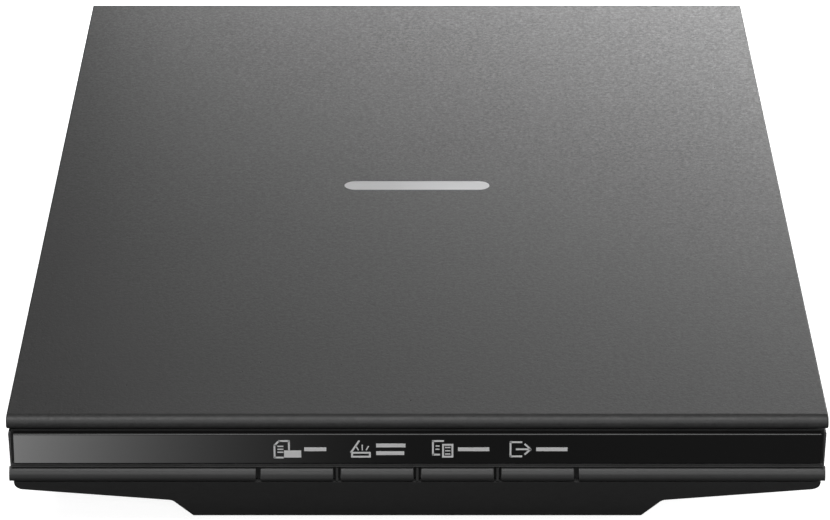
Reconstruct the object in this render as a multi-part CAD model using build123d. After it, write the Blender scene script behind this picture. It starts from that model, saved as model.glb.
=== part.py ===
"""Flatbed document scanner, built from separate parts.

Millimetres. Origin under the middle of the scanner on the table. +X is to the right of a person
facing the buttons, +Y runs from the buttons to the hinges, and +Z is up. The lid is closed, the
carriage is parked at the front and the buttons are out.
"""

import os
from math import acos, cos, pi, radians, sin, sqrt, tan

from build123d import *

os.makedirs("parts", exist_ok=True)

# Overall size
WIDTH = 250.0
LENGTH = 367.0
HEIGHT = 42.0

# Heights of the main levels
LID_BOTTOM = 37.9
RIM_TOP = 36.9
GLASS_TOP = 35.85
GLASS_BOTTOM = 33.05
PARTING = 20.5
LEDGE = 31.9
PLATFORM = 2.0
WALL = 2.2

# Base outline
BASE_HALF = 124.5
BASE_FRONT = -183.1
BASE_REAR = 183.1
HULL_HALF = 123.5
LEDGE_Y = 172.0

# Window for the document
WINDOW_HALF = 108.0
WINDOW_FRONT = -152.0
WINDOW_REAR = 145.0
LIP = 0.9
GLASS_HALF = 113.0
GLASS_FRONT = -167.0
GLASS_REAR = 152.0
TAPE = 0.15

# Front panel, trim and buttons
PANEL_HALF = 122.9
PANEL_FRONT = -183.1
PANEL_BOTTOM = 26.1
PANEL_TOP = 36.25
PANEL_THICK = 1.9
TRIM_BOTTOM = 19.9
TRIM_TOP = 24.6
TRIM_SEAM = 0.3
NOSE_BELLY = 1.7
TRIM_FRONT = -183.4
TRIM_BACK = -181.5
TRIM_HALF = 124.7
BUTTON_WIDTH = 22.4
BUTTON_PITCH = 24.53
RAIL_FRONT = -180.2
RAIL_THICK = 1.0
RAIL_HALF = 120.9
BOARD_FRONT = -173.4

# Hinges
HINGE_X = 80.0
PIVOT_Y = 179.8
PIVOT_Z = 37.9
POST_Y = 175.0
POST_BOTTOM = 15.0
POST_WIDTH = 14.0
POST_THICK = 4.0
EYE_WIDTH = 8.0
EYE_RADIUS = 2.2
PIN_RADIUS = 1.2

# Carriage drive
ROD_RADIUS = 3.0
ROD_Z = 14.0
CARRIAGE_Y = -160.0
PLATE_Z = 16.2
PLATE_THICK = 2.0
RACK_PITCH_X = 20.0
RACK_MODULE = 1.0
GEAR_MODULE = 0.6
RACK_GEAR_TEETH = 12
DRIVE_TEETH = 36
IDLER_SMALL_TEETH = 12
IDLER_TEETH = 40
PINION_TEETH = 10
CENTRE_EASE = 0.05
PRESSURE = radians(20)
ADDENDUM = 0.65
DEDENDUM = 0.92
BACKLASH = 0.14

# Contact image sensor
CIS_HALF = 110.0
CIS_DEPTH = 7.8
CIS_TOP = 32.0
CIS_BOTTOM = 21.8


def block(x0, x1, y0, y1, z0, z1):
    return Pos((x0 + x1) / 2, (y0 + y1) / 2, (z0 + z1) / 2) * Box(x1 - x0, y1 - y0, z1 - z0)


def disc(x, y, z0, z1, radius):
    return Pos(x, y, (z0 + z1) / 2) * Cylinder(radius, z1 - z0)


def bar_y(x, z, y0, y1, radius):
    return Pos(x, (y0 + y1) / 2, z) * Rot(90, 0, 0) * Cylinder(radius, y1 - y0)


def bar_x(y, z, x0, x1, radius):
    return Pos((x0 + x1) / 2, y, z) * Rot(0, 90, 0) * Cylinder(radius, x1 - x0)


def along_y(outline, y0, y1):
    """Sweep a face drawn with across and up from y0 to y1."""
    plane = Plane(origin=(0, y0, 0), x_dir=(1, 0, 0), z_dir=(0, -1, 0))
    return extrude(plane * make_face(outline), y1 - y0, dir=(0, 1, 0))


def along_x(outline, x0, x1):
    """Sweep a face drawn with back and up from x0 to x1."""
    plane = Plane(origin=(x0, 0, 0), x_dir=(0, 1, 0), z_dir=(1, 0, 0))
    return extrude(plane * make_face(outline), x1 - x0, dir=(1, 0, 0))


def union(shapes):
    shapes = list(shapes)
    total = shapes[0]
    for shape in shapes[1:]:
        total = total + shape
    return total


def screw(x, y, head_z, up, radius, length, head_radius, head_height):
    """Cylinder head screw along Z. head_z is where the head bears, up is +1 when the shank rises."""
    outer_z = head_z - up * head_height
    head = disc(x, y, *sorted((head_z, outer_z)), head_radius)
    drive = disc(x, y, *sorted((outer_z, head_z - up * head_height * 0.4)), head_radius * 0.4)
    shank = disc(x, y, *sorted((head_z, head_z + up * length)), radius)
    return head + shank - drive


# ---------------------------------------------------------------- lower shell

CASE_SCREWS = [(x, y) for x in (-118.2, 118.2) for y in (-150.0, 0.0, 150.0)]
FEET = [(x, y) for x in (-57.0, 57.0) for y in (-150.0, 156.0)]
FOOT_RADIUS = 6.5
FOOT_RECESS = 0.7
BOARD_Z = 20.9
BOARD_SCREWS = [(x, y) for x in (-64.0, -14.0) for y in (161.0, 175.0)]


def hull_across(inset, top):
    """Underside seen from the front: shallow wings either side of a deep central platform."""
    half = HULL_HALF - inset
    wing = [(half, top), (half - 0.3, 16.1 + inset), (75.5, 10.2 + inset), (69.3 - inset, PLATFORM + inset)]
    outline = wing + [(-x, z) for x, z in reversed(wing)]
    prism = along_y(Polyline(*outline, close=True), BASE_FRONT - 1, BASE_REAR + 1)
    for (x, z), radius in zip(wing[1:], (2.8, 2.6, 1.0)):
        edges = [e for e in prism.edges().filter_by(Axis.Y) if abs(abs(e.center().X) - x) < 0.2
                 and abs(e.center().Z - z) < 0.2]
        prism = fillet(edges, radius)
    return prism


def hull_along(inset, top):
    """Underside seen from the side: the front slopes back well under the buttons."""
    front = BASE_FRONT + inset * 1.235
    rear = BASE_REAR - inset * 1.069
    lift = PLATFORM + inset
    toe = -170.6 + inset * 0.935
    heel = 176.0 - inset * 0.969
    outline = [(front, top), (front, PARTING - 0.1), (toe, lift), (heel, lift),
               (rear, PARTING - 0.1), (rear, top)]
    prism = along_x(Polyline(*outline, close=True), -HULL_HALF - 1, HULL_HALF + 1)
    return fillet(prism.edges().filter_by(Axis.X).group_by(Axis.Z)[0], 0.8)


def hull(inset, top):
    return hull_across(inset, top) & hull_along(inset, top)


def lower_shell():
    shell = hull(0, PARTING) - hull(WALL, PARTING + 1)
    seam = TRIM_BOTTOM - TRIM_SEAM
    shell -= block(-WIDTH, WIDTH, -190, RAIL_FRONT, seam, PARTING + 1)
    shell -= block(-RAIL_HALF - 0.3, RAIL_HALF + 0.3, -190, RAIL_FRONT + RAIL_THICK + 0.3, seam, PARTING + 1)
    for x, y in CASE_SCREWS:
        shell += disc(x, y, 15.5, PARTING - 0.1, 3.6) & hull(0, PARTING)
    for x, y in CASE_SCREWS:
        shell -= disc(x, y, 10, PARTING + 1, 1.65)
        shell -= disc(x, y, 10, 18.4, 2.9)
    for x, y in BOARD_SCREWS:
        shell += disc(x, y, 3.0, BOARD_Z, 2.6) & hull(1.0, BOARD_Z)
    for x, y in BOARD_SCREWS:
        shell -= disc(x, y, BOARD_Z - 6, BOARD_Z + 1, 1.05)
    for x, y in FEET:
        shell -= disc(x, y, PLATFORM - 1, PLATFORM + FOOT_RECESS, FOOT_RADIUS + 0.1)
    for y in (-120.0, -60.0, 0.0, 60.0, 120.0):
        shell += block(-62, -59.5, y - 0.8, y + 0.8, 3.8, 8.0) + block(59.5, 62, y - 0.8, y + 0.8, 3.8, 8.0)
    for x, y in ROD_SCREWS:
        shell += disc(x, y, 3.5, HOLDER_BASE, 2.4)
        shell -= disc(x, y, 3.0, HOLDER_BASE + 1, 1.05)
    for x, y in RACK_SCREWS:
        shell -= disc(x, y, 3.0, 5.0, 1.05)
    return shell


def rubber_feet():
    return Compound(children=[disc(x, y, 0, PLATFORM + FOOT_RECESS, FOOT_RADIUS) for x, y in FEET])


def case_screws():
    return Compound(children=[screw(x, y, 18.4, 1, 1.5, 12.0, 2.7, 1.6) for x, y in CASE_SCREWS])


# ---------------------------------------------------------------- upper frame

GUIDE_WIDTH = 18.0
GUIDE_FRONT = 171.6
GUIDE_REAR = 178.6
GUIDE_BOTTOM = 15.4
SOCKET_X = -45.0
SOCKET_Z = 24.1


def draft_walls(outset):
    """Side walls seen from the front, leaning in a little towards the bottom."""
    top = BASE_HALF - outset
    bottom = BASE_HALF - 0.5 - outset
    return Polyline((-top, RIM_TOP), (top, RIM_TOP), (bottom, PARTING), (-bottom, PARTING), close=True)


def upper_frame():
    body = along_y(draft_walls(0), BASE_FRONT, BASE_REAR)
    body = fillet(body.edges().filter_by(Axis.Y).group_by(Axis.Z)[-1], 0.6)
    body -= along_y(draft_walls(WALL), BASE_FRONT + 4.1, BASE_REAR - WALL) - block(
        -WIDTH, WIDTH, -LENGTH, LENGTH, RIM_TOP - 2.2, HEIGHT
    )
    # window, and the step under its lip that holds the glass
    body -= block(-WINDOW_HALF, WINDOW_HALF, WINDOW_FRONT, WINDOW_REAR, 30, 40)
    body -= block(
        -GLASS_HALF - 0.3, GLASS_HALF + 0.3, GLASS_FRONT - 0.3, GLASS_REAR + 0.3, 30, RIM_TOP - LIP
    )
    # rear ledge that the lid's back edge swings down over
    body += block(-BASE_HALF + 1, BASE_HALF - 1, LEDGE_Y - 2, BASE_REAR - 1, LEDGE - 2, LEDGE)
    body += block(-BASE_HALF + 1, BASE_HALF - 1, LEDGE_Y - 2, LEDGE_Y, LEDGE - 2, RIM_TOP - 1)
    body -= block(-WIDTH, WIDTH, LEDGE_Y, LENGTH, LEDGE, HEIGHT)
    # front: room for the panel, a plain strip under it, then the channel for trim and buttons
    room = PANEL_HALF + 0.8
    body -= block(-room, room, -190, PANEL_FRONT + PANEL_THICK, PANEL_BOTTOM - 0.2, RIM_TOP + 1)
    body -= block(-WIDTH, WIDTH, -190, -179.0, PARTING - 1, TRIM_TOP + TRIM_SEAM)
    body -= block(-room, room, -190, -182.7, TRIM_TOP, PANEL_BOTTOM)
    for x in PANEL_PEGS:
        body -= bar_y(x, PANEL_PEG_Z, -190, -178, 1.3)
    # posts that the case screws bite into
    for x, y in CASE_SCREWS:
        body += disc(x, y, PARTING, RIM_TOP - 1.5, 3.2)
        body -= disc(x, y, PARTING - 1, 31.2, 1.55)
    # wells for the hinge posts, the cable socket's opening, and posts for the button board
    for x in (-HINGE_X, HINGE_X):
        body -= block(
            x - POST_WIDTH / 2 - 0.4, x + POST_WIDTH / 2 + 0.4,
            POST_Y - POST_THICK / 2 - 0.4, POST_Y + POST_THICK / 2 + 0.4, LEDGE - 3, LEDGE + 1,
        )
    body -= block(SOCKET_X - 5.2, SOCKET_X + 5.2, 179, 185, SOCKET_Z - 2.0, SOCKET_Z + 2.0)
    for x in BUTTON_BOARD_SCREWS:
        body += block(x - 2.4, x + 2.4, -179.6, BOARD_FRONT, 27.4, 33.2)
        body -= bar_y(x, 30.4, -178, BOARD_FRONT + 1, 0.85)
    return body


def glass_tape():
    outer = block(-GLASS_HALF, GLASS_HALF, -155.4, GLASS_REAR, GLASS_TOP, GLASS_TOP + TAPE)
    return outer - block(-WINDOW_HALF - 0.5, WINDOW_HALF + 0.5, -153.0, WINDOW_REAR + 0.5, 30, 40)


def platen_glass():
    return block(-GLASS_HALF, GLASS_HALF, GLASS_FRONT, GLASS_REAR, GLASS_BOTTOM, GLASS_TOP)


def calibration_strip():
    return block(-WINDOW_HALF - 2, WINDOW_HALF + 2, -166.0, -156.0, GLASS_TOP, GLASS_TOP + TAPE)


# ---------------------------------------------------------------- front panel, trim and buttons

PANEL_PEGS = (-110.0, -55.0, 55.0, 110.0)
PANEL_PEG_Z = 31.5
BUTTON_BOARD_SCREWS = (-46.0, 46.0)
BUTTON_X = [(i - 1.5) * BUTTON_PITCH for i in range(4)]
RIB_X = [(i - 1) * BUTTON_PITCH for i in range(3)]
BUTTON_NAMES = ("document_button", "scan_button", "copy_button", "send_button")
BAR_INNER = BUTTON_X[3] + BUTTON_WIDTH / 2 + 1.4
STEM_HALF = 3.0


def front_panel():
    rear = PANEL_FRONT + PANEL_THICK
    panel = block(-PANEL_HALF, PANEL_HALF, PANEL_FRONT, rear, PANEL_BOTTOM, PANEL_TOP)
    panel = fillet(panel.edges().filter_by(Axis.X).group_by(Axis.Y)[0], 0.45)
    for x in PANEL_PEGS:
        panel += bar_y(x, PANEL_PEG_Z, rear - 0.2, -178.6, 1.2)
    return panel


def nose(x0, x1):
    """Bar with the full, low-bellied front that the trim and the buttons share."""
    top = (TRIM_BACK, TRIM_TOP)
    belly = (TRIM_FRONT, TRIM_BOTTOM + NOSE_BELLY)
    bottom = (TRIM_BACK, TRIM_BOTTOM)
    outline = ThreePointArc(top, (TRIM_FRONT + 0.5, TRIM_TOP - 1.4), belly)
    outline += ThreePointArc(belly, (TRIM_FRONT + 0.4, TRIM_BOTTOM + 0.5), bottom) + Line(bottom, top)
    return along_x(outline, x0, x1)


def button_trim():
    trim = block(-RAIL_HALF, RAIL_HALF, RAIL_FRONT, RAIL_FRONT + RAIL_THICK, TRIM_BOTTOM, TRIM_TOP)
    for side in (-1, 1):
        ends = sorted((side * BAR_INNER, side * TRIM_HALF))
        web = sorted((side * BAR_INNER, side * RAIL_HALF))
        trim += nose(*ends) + block(*web, TRIM_BACK - 0.1, RAIL_FRONT, TRIM_BOTTOM, TRIM_TOP)
    for x in RIB_X:
        trim += block(x - 0.35, x + 0.35, -182.7, RAIL_FRONT, TRIM_BOTTOM + 0.2, TRIM_TOP - 0.2)
    for x in BUTTON_X:
        trim -= block(x - STEM_HALF - 0.3, x + STEM_HALF + 0.3, -181, -179, TRIM_BOTTOM + 0.6, TRIM_TOP - 0.6)
    return trim


def button(x):
    cap = nose(x - BUTTON_WIDTH / 2, x + BUTTON_WIDTH / 2)
    ends = cap.faces().group_by(Axis.X)
    cap = fillet([edge for face in ends[0] + ends[-1] for edge in face.edges()
                  if edge.geom_type != GeomType.LINE], 0.35)
    stem = block(x - STEM_HALF, x + STEM_HALF, TRIM_BACK - 0.2, -178.0, TRIM_BOTTOM + 0.9, TRIM_TOP - 0.9)
    barb = block(x - STEM_HALF - 0.7, x + STEM_HALF + 0.7, -178.9, -178.0, TRIM_BOTTOM + 0.9, TRIM_TOP - 0.9)
    return cap + stem + barb


def button_board():
    board = block(-52, 52, BOARD_FRONT, BOARD_FRONT + 1.6, 18.6, 33.0)
    for x in BUTTON_BOARD_SCREWS:
        board -= bar_y(x, 30.4, -180, -170, 1.1)
    return board


def button_board_screws():
    screws = []
    for x in BUTTON_BOARD_SCREWS:
        head = bar_y(x, 30.4, BOARD_FRONT + 1.6, BOARD_FRONT + 2.9, 1.9)
        shank = bar_y(x, 30.4, BOARD_FRONT - 4.2, BOARD_FRONT + 1.7, 0.8)
        recess = bar_y(x, 30.4, BOARD_FRONT + 2.2, BOARD_FRONT + 3.5, 0.8)
        screws.append(head + shank - recess)
    return Compound(children=screws)


def tact_switches():
    middle = (TRIM_TOP + TRIM_BOTTOM) / 2
    switches = []
    for x in BUTTON_X:
        body = block(x - 3, x + 3, BOARD_FRONT - 3.0, BOARD_FRONT, middle - 3, middle + 3)
        switches.append(body + bar_y(x, middle, BOARD_FRONT - 3.8, BOARD_FRONT - 2.9, 1.7))
    return Compound(children=switches)


# ---------------------------------------------------------------- main board

def main_board():
    board = block(-68, -10, 157.4, 178.4, BOARD_Z, BOARD_Z + 1.6)
    for x, y in BOARD_SCREWS:
        board -= disc(x, y, BOARD_Z - 1, BOARD_Z + 3, 1.3)
    return board


def main_board_chip():
    return block(-32, -20, 162, 174, BOARD_Z + 1.6, BOARD_Z + 3.2)


def cable_socket():
    low, high = CABLE[0] - 3.0, CABLE[1] + 3.0
    body = block(low, high, 157.6, 162.0, BOARD_Z + 1.6, BOARD_Z + 3.9)
    return body - block(low + 1.6, high - 1.6, 157, 160.8, BOARD_Z + 2.4, BOARD_Z + 3.2)


def usb_socket():
    rear = 181.6
    outer = along_y(SlotOverall(9.0, 3.2).face().outer_wire(), 0, 7.6)
    inner = along_y(SlotOverall(8.3, 2.5).face().outer_wire(), 1.2, 8.6)
    tongue = block(-3.3, 3.3, 1.0, 6.8, -0.35, 0.35)
    return Pos(SOCKET_X, rear - 7.6, SOCKET_Z) * (outer - inner + tongue)


def board_screws():
    return Compound(children=[screw(x, y, BOARD_Z + 1.6, -1, 1.0, 6.0, 1.9, 1.3) for x, y in BOARD_SCREWS])


# ---------------------------------------------------------------- hinges

def hinge_guide(x):
    guide = block(x - GUIDE_WIDTH / 2, x + GUIDE_WIDTH / 2, GUIDE_FRONT, GUIDE_REAR, GUIDE_BOTTOM, LEDGE - 2)
    return guide - block(
        x - POST_WIDTH / 2 - 0.1, x + POST_WIDTH / 2 + 0.1,
        POST_Y - POST_THICK / 2 - 0.1, POST_Y + POST_THICK / 2 + 0.1, 10, 40,
    )


def hinge_post(x):
    front = POST_Y - POST_THICK / 2
    rear = POST_Y + POST_THICK / 2
    shank = block(x - POST_WIDTH / 2, x + POST_WIDTH / 2, front, rear, POST_BOTTOM, 34.8)
    neck = along_x(
        Polyline((front, 34.0), (rear, 32.8), (PIVOT_Y + 1.4, PIVOT_Z - 1.7),
                 (PIVOT_Y - 0.9, PIVOT_Z + 1.9), (front, 36.2), close=True),
        x - EYE_WIDTH / 2, x + EYE_WIDTH / 2,
    )
    eye = bar_x(PIVOT_Y, PIVOT_Z, x - EYE_WIDTH / 2, x + EYE_WIDTH / 2, EYE_RADIUS)
    bore = bar_x(PIVOT_Y, PIVOT_Z, x - WIDTH, x + WIDTH, PIN_RADIUS)
    return shank + neck + eye - bore


def hinge_pins():
    half = POST_WIDTH / 2
    return Compound(children=[bar_x(PIVOT_Y, PIVOT_Z, x - half, x + half, PIN_RADIUS)
                              for x in (-HINGE_X, HINGE_X)])


EAR_GAP = EYE_WIDTH / 2 + 0.3
EAR_WIDTH = 2.6
BRACKET_TOP = 40.4
BRACKET_BOTTOM = 39.2
LID_SCREW_Y = 163.0


def lid_bracket(x):
    """Plate inside the lid with two ears round the hinge pin."""
    plate = block(x - 17, x + 17, 157, 175.0, BRACKET_BOTTOM, BRACKET_TOP)
    bracket = plate
    for side in (-1, 1):
        near = side * EAR_GAP
        far = side * (EAR_GAP + EAR_WIDTH)
        low, high = sorted((x + near, x + far))
        bracket += block(low, high, 174.0, PIVOT_Y, PIVOT_Z + 0.4, BRACKET_TOP - 0.2)
        bracket += bar_x(PIVOT_Y, PIVOT_Z, low, high, 2.25)
    bracket -= bar_x(PIVOT_Y, PIVOT_Z, x - 20, x + 20, PIN_RADIUS + 0.06)
    for side in (-1, 1):
        bracket -= disc(x + side * 13, LID_SCREW_Y, 30, 42, 1.1)
    return bracket


# ---------------------------------------------------------------- lid

LID_NOSE = 2.8
LID_UNDER_ROUND = 1.2
LID_BACK_ROUND = 1.0
LID_SIDE_ROUND = 0.5
SKIN = 1.5
SKIRT = 1.8
LINER_BOTTOM = 38.1
LINER_TOP = 39.1
PAD_HALF = 106.8
PAD_FRONT = -150.8
PAD_REAR = 143.8
FOAM_BOTTOM = 36.6
SHEET_BOTTOM = 36.2
NOTCH = POST_WIDTH / 2 + 1.0
BADGE = (50.0, 8.0)
BADGE_Y = 1.0
BADGE_DEPTH = 0.35
LID_SCREWS = [(x + side * 13, LID_SCREW_Y) for x in (-HINGE_X, HINGE_X) for side in (-1, 1)]
LINER_SCREWS = [(x, y) for x in (-114.0, 114.0) for y in (-165.0, 0.0, 140.0)]


def lid_plate(inset, z0, z1):
    sketch = RectangleRounded(WIDTH - 2 * inset, LENGTH - 2 * inset, max(1.6 - inset, 0.4))
    return Pos(0, 0, z0) * extrude(sketch, z1 - z0)


def lid_slab():
    """Outside of the lid: a full round nose along the front, crisp sides and a softened back."""
    half = LENGTH / 2
    outline = Polyline((-half, LID_BOTTOM), (half, LID_BOTTOM), (half, HEIGHT), (-half, HEIGHT), close=True)
    slab = along_x(outline, -WIDTH / 2, WIDTH / 2)
    for y, z, radius in ((-half, HEIGHT, LID_NOSE), (-half, LID_BOTTOM, LID_UNDER_ROUND),
                         (half, HEIGHT, LID_BACK_ROUND), (half, LID_BOTTOM, LID_SIDE_ROUND)):
        edges = [e for e in slab.edges().filter_by(Axis.X)
                 if abs(e.center().Y - y) < 0.1 and abs(e.center().Z - z) < 0.1]
        slab = fillet(edges, radius)
    ends = slab.faces().filter_by(Plane.YZ)
    return fillet(ends.edges(), LID_SIDE_ROUND)


def lid_shell():
    shell = lid_slab()
    shell -= lid_plate(SKIRT, LID_BOTTOM - 1, HEIGHT - SKIN)
    for x in (-HINGE_X, HINGE_X):
        shell -= block(x - NOTCH, x + NOTCH, 175, 190, LID_BOTTOM - 1, HEIGHT - SKIN)
    for x, y in LINER_SCREWS:
        shell += disc(x, y, LINER_TOP, HEIGHT - SKIN + 0.2, 2.6)
        shell -= disc(x, y, LINER_TOP - 1, HEIGHT - SKIN, 0.85)
    for x, y in LID_SCREWS:
        shell -= disc(x, y, BRACKET_BOTTOM, HEIGHT - 0.7, 0.95)
    shell -= Pos(0, BADGE_Y, HEIGHT - BADGE_DEPTH) * extrude(SlotOverall(BADGE[0] + 0.2, BADGE[1] + 0.2), 1)
    return shell


def lid_badge():
    badge = Pos(0, BADGE_Y, HEIGHT - BADGE_DEPTH) * extrude(SlotOverall(*BADGE), BADGE_DEPTH - 0.05)
    return badge


def lid_liner():
    liner = lid_plate(SKIRT + 0.2, LINER_BOTTOM, LINER_TOP)
    for x in (-HINGE_X, HINGE_X):
        liner -= block(x - NOTCH - 0.6, x + NOTCH + 0.6, 172.0, 190, 30, 42)
    for x, y in LINER_SCREWS:
        liner -= disc(x, y, 30, 42, 1.0)
    for x, y in LID_SCREWS:
        liner -= disc(x, y, 30, 42, 2.3)
    return liner


def pad_foam():
    return block(-PAD_HALF, PAD_HALF, PAD_FRONT, PAD_REAR, FOAM_BOTTOM, LINER_BOTTOM)


def pad_sheet():
    return block(-PAD_HALF, PAD_HALF, PAD_FRONT, PAD_REAR, SHEET_BOTTOM, FOAM_BOTTOM)


def lid_screws():
    brackets = [screw(x, y, BRACKET_BOTTOM, 1, 0.9, 2.0, 2.0, 1.0) for x, y in LID_SCREWS]
    liner = [screw(x, y, LINER_BOTTOM, 1, 0.8, 2.2, 1.8, 0.6) for x, y in LINER_SCREWS]
    return Compound(children=brackets + liner)


# ---------------------------------------------------------------- guide rod and rack

HOLDER_BASE = 5.0
ROD_SCREWS = [(x, y) for x in (-8.0, 8.0) for y in (-166.0, 172.6)]
RACK_Y = (-163.0, 161.0)
RACK_X = 12.0
RACK_BOTTOM = 5.2
RACK_TOP = 10.0
RACK_SCREWS = [(9.6, y) for y in (-140.0, -40.0, 60.0, 150.0)]
FLOOR = PLATFORM + WALL


def guide_rod():
    rod = bar_y(0, ROD_Z, -173.0, 176.6, ROD_RADIUS)
    return chamfer(rod.edges().filter_by(GeomType.CIRCLE), 0.4)


def rod_holder(y0, y1, screw_y):
    """Saddle on the floor that the end of the rod lies in."""
    tower = block(-5.5, 5.5, y0, y1, HOLDER_BASE, ROD_Z + 2.0)
    foot = block(-10.5, 10.5, *sorted((screw_y - 2.2, screw_y + 2.2)), HOLDER_BASE, HOLDER_BASE + 1.4)
    link = block(-5.5, 5.5, min(y0, screw_y - 2.2), max(y1, screw_y + 2.2), HOLDER_BASE, HOLDER_BASE + 1.4)
    holder = tower + foot + link - bar_y(0, ROD_Z, -200, 200, ROD_RADIUS)
    for side in (-8.0, 8.0):
        holder -= disc(side, screw_y, 0, 20, 1.2)
    return holder & hull(WALL + 0.05, PARTING + 5)


def rod_screws():
    return Compound(children=[screw(x, y, HOLDER_BASE + 1.4, -1, 1.0, 2.9, 1.8, 1.0) for x, y in ROD_SCREWS])


def drive_rack():
    """Rack on the floor with its teeth facing the drive gear."""
    pitch = pi * RACK_MODULE
    half = (pitch / 2 - BACKLASH / 2) / 2
    tip = RACK_PITCH_X + ADDENDUM * RACK_MODULE
    root = RACK_PITCH_X - DEDENDUM * RACK_MODULE
    lean = tan(PRESSURE)
    points = [(RACK_X, RACK_Y[0]), (root, RACK_Y[0])]
    count = int((RACK_Y[1] - RACK_Y[0]) / pitch) - 1
    first = -int((GEAR_Y - RACK_Y[0]) / pitch) + 1
    for i in range(first, first + count):
        centre = GEAR_Y + i * pitch
        points += [
            (root, centre - half - DEDENDUM * RACK_MODULE * lean),
            (tip, centre - half + ADDENDUM * RACK_MODULE * lean),
            (tip, centre + half - ADDENDUM * RACK_MODULE * lean),
            (root, centre + half + DEDENDUM * RACK_MODULE * lean),
        ]
    points += [(root, RACK_Y[1]), (RACK_X, RACK_Y[1])]
    outline = make_face(Polyline(*points, close=True))
    toothed = Pos(0, 0, RACK_BOTTOM) * extrude(outline, RACK_TOP - RACK_BOTTOM)
    flange = block(7.4, 17.5, *RACK_Y, FLOOR, RACK_BOTTOM)
    rack = toothed + flange
    for x, y in RACK_SCREWS:
        rack -= disc(x, y, 0, 20, 1.2)
    return rack


def rack_screws():
    return Compound(children=[screw(x, y, RACK_BOTTOM, -1, 1.0, 2.0, 1.9, 1.1) for x, y in RACK_SCREWS])


# ---------------------------------------------------------------- gears

GEAR_Y = CARRIAGE_Y + 6.0
DRIVE_X = RACK_PITCH_X + RACK_MODULE * RACK_GEAR_TEETH / 2 + CENTRE_EASE
IDLER_GAP = GEAR_MODULE * (DRIVE_TEETH + IDLER_SMALL_TEETH) / 2 + CENTRE_EASE
IDLER_X = DRIVE_X + IDLER_GAP
MOTOR_GAP = GEAR_MODULE * (IDLER_TEETH + PINION_TEETH) / 2 + CENTRE_EASE
MOTOR_Y = GEAR_Y + 12.0
MOTOR_X = IDLER_X + sqrt(MOTOR_GAP**2 - (MOTOR_Y - GEAR_Y) ** 2)
MOTOR_ANGLE = acos((MOTOR_X - IDLER_X) / MOTOR_GAP)
AXLE_RADIUS = 1.0
AXLE_CLEARANCE = 0.05


def involute_angle(radius, base):
    return sqrt(radius**2 / base**2 - 1) - acos(base / radius)


def gear_wheel(module, teeth, z0, z1, tooth_at):
    """Involute gear about Z. tooth_at is the angle that one tooth's middle points to."""
    pitch_radius = module * teeth / 2
    base = pitch_radius * cos(PRESSURE)
    tip = pitch_radius + ADDENDUM * module
    root = pitch_radius - DEDENDUM * module
    half_at_pitch = (pi * module / 2 - BACKLASH / 2) / 2 / pitch_radius
    half_at_base = half_at_pitch + involute_angle(pitch_radius, base)
    start = max(base, root)
    radii = [start + (tip - start) * i / 4 for i in range(5)]
    flank = [(r, half_at_base - involute_angle(r, base)) for r in radii]
    flank = [(root, flank[0][1])] * (root < base) + flank
    points = []
    for tooth in range(teeth):
        middle = tooth_at + 2 * pi * tooth / teeth
        points += [(r * cos(middle - a), r * sin(middle - a)) for r, a in flank]
        points += [(r * cos(middle + a), r * sin(middle + a)) for r, a in reversed(flank)]
    return Pos(0, 0, z0) * extrude(make_face(Polyline(*points, close=True)), z1 - z0)


def drive_gear():
    """Small wheel on the rack under a big wheel, with one tooth space facing the rack tooth."""
    small = gear_wheel(RACK_MODULE, RACK_GEAR_TEETH, 5.4, 10.4, pi + pi / RACK_GEAR_TEETH)
    big = gear_wheel(GEAR_MODULE, DRIVE_TEETH, 10.6, 12.4, 0)
    hub = disc(0, 0, 5.4, 13.0, 4.4) - disc(0, 0, 12.4, 13.5, 9)
    gear = small + big + hub - disc(0, 0, 0, 20, AXLE_RADIUS + AXLE_CLEARANCE)
    return Pos(DRIVE_X, GEAR_Y, 0) * gear


def reduction_gear():
    """Small wheel meshing with the drive gear, under the big wheel that the motor turns."""
    small = gear_wheel(GEAR_MODULE, IDLER_SMALL_TEETH, 10.4, 12.9, pi + pi / IDLER_SMALL_TEETH)
    big = gear_wheel(GEAR_MODULE, IDLER_TEETH, 12.9, 14.8, MOTOR_ANGLE)
    gear = small + big - disc(0, 0, 0, 20, AXLE_RADIUS + AXLE_CLEARANCE)
    return Pos(IDLER_X, GEAR_Y, 0) * gear


def motor_pinion():
    wheel = gear_wheel(GEAR_MODULE, PINION_TEETH, 12.6, 15.2, MOTOR_ANGLE + pi + pi / PINION_TEETH)
    return Pos(MOTOR_X, MOTOR_Y, 0) * (wheel - disc(0, 0, 0, 20, AXLE_RADIUS))


def gear_axles():
    """Headed pins that hang the two gears under the carriage plate."""
    drive = disc(DRIVE_X, GEAR_Y, 5.2, PLATE_Z + PLATE_THICK, AXLE_RADIUS)
    drive += disc(DRIVE_X, GEAR_Y, 4.7, 5.2, 1.9)
    idler = disc(IDLER_X, GEAR_Y, 10.2, PLATE_Z + PLATE_THICK, AXLE_RADIUS)
    idler += disc(IDLER_X, GEAR_Y, 9.7, 10.2, 1.9)
    return Compound(children=[drive, idler])


# ---------------------------------------------------------------- carriage

FRAME_FRONT = CARRIAGE_Y - 8.8
FRAME_REAR = CARRIAGE_Y + 26.8
CRADLE_Y = 9.4
CRADLE_HALF = 112.4
CRADLE_FLOOR = 18.3
SPRING_X = (-105.5, 105.5)
MOTOR_RADIUS = 8.0
MOTOR_BORE_TOP = 27.0
FLANGE_HOLES = 11.5


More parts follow.
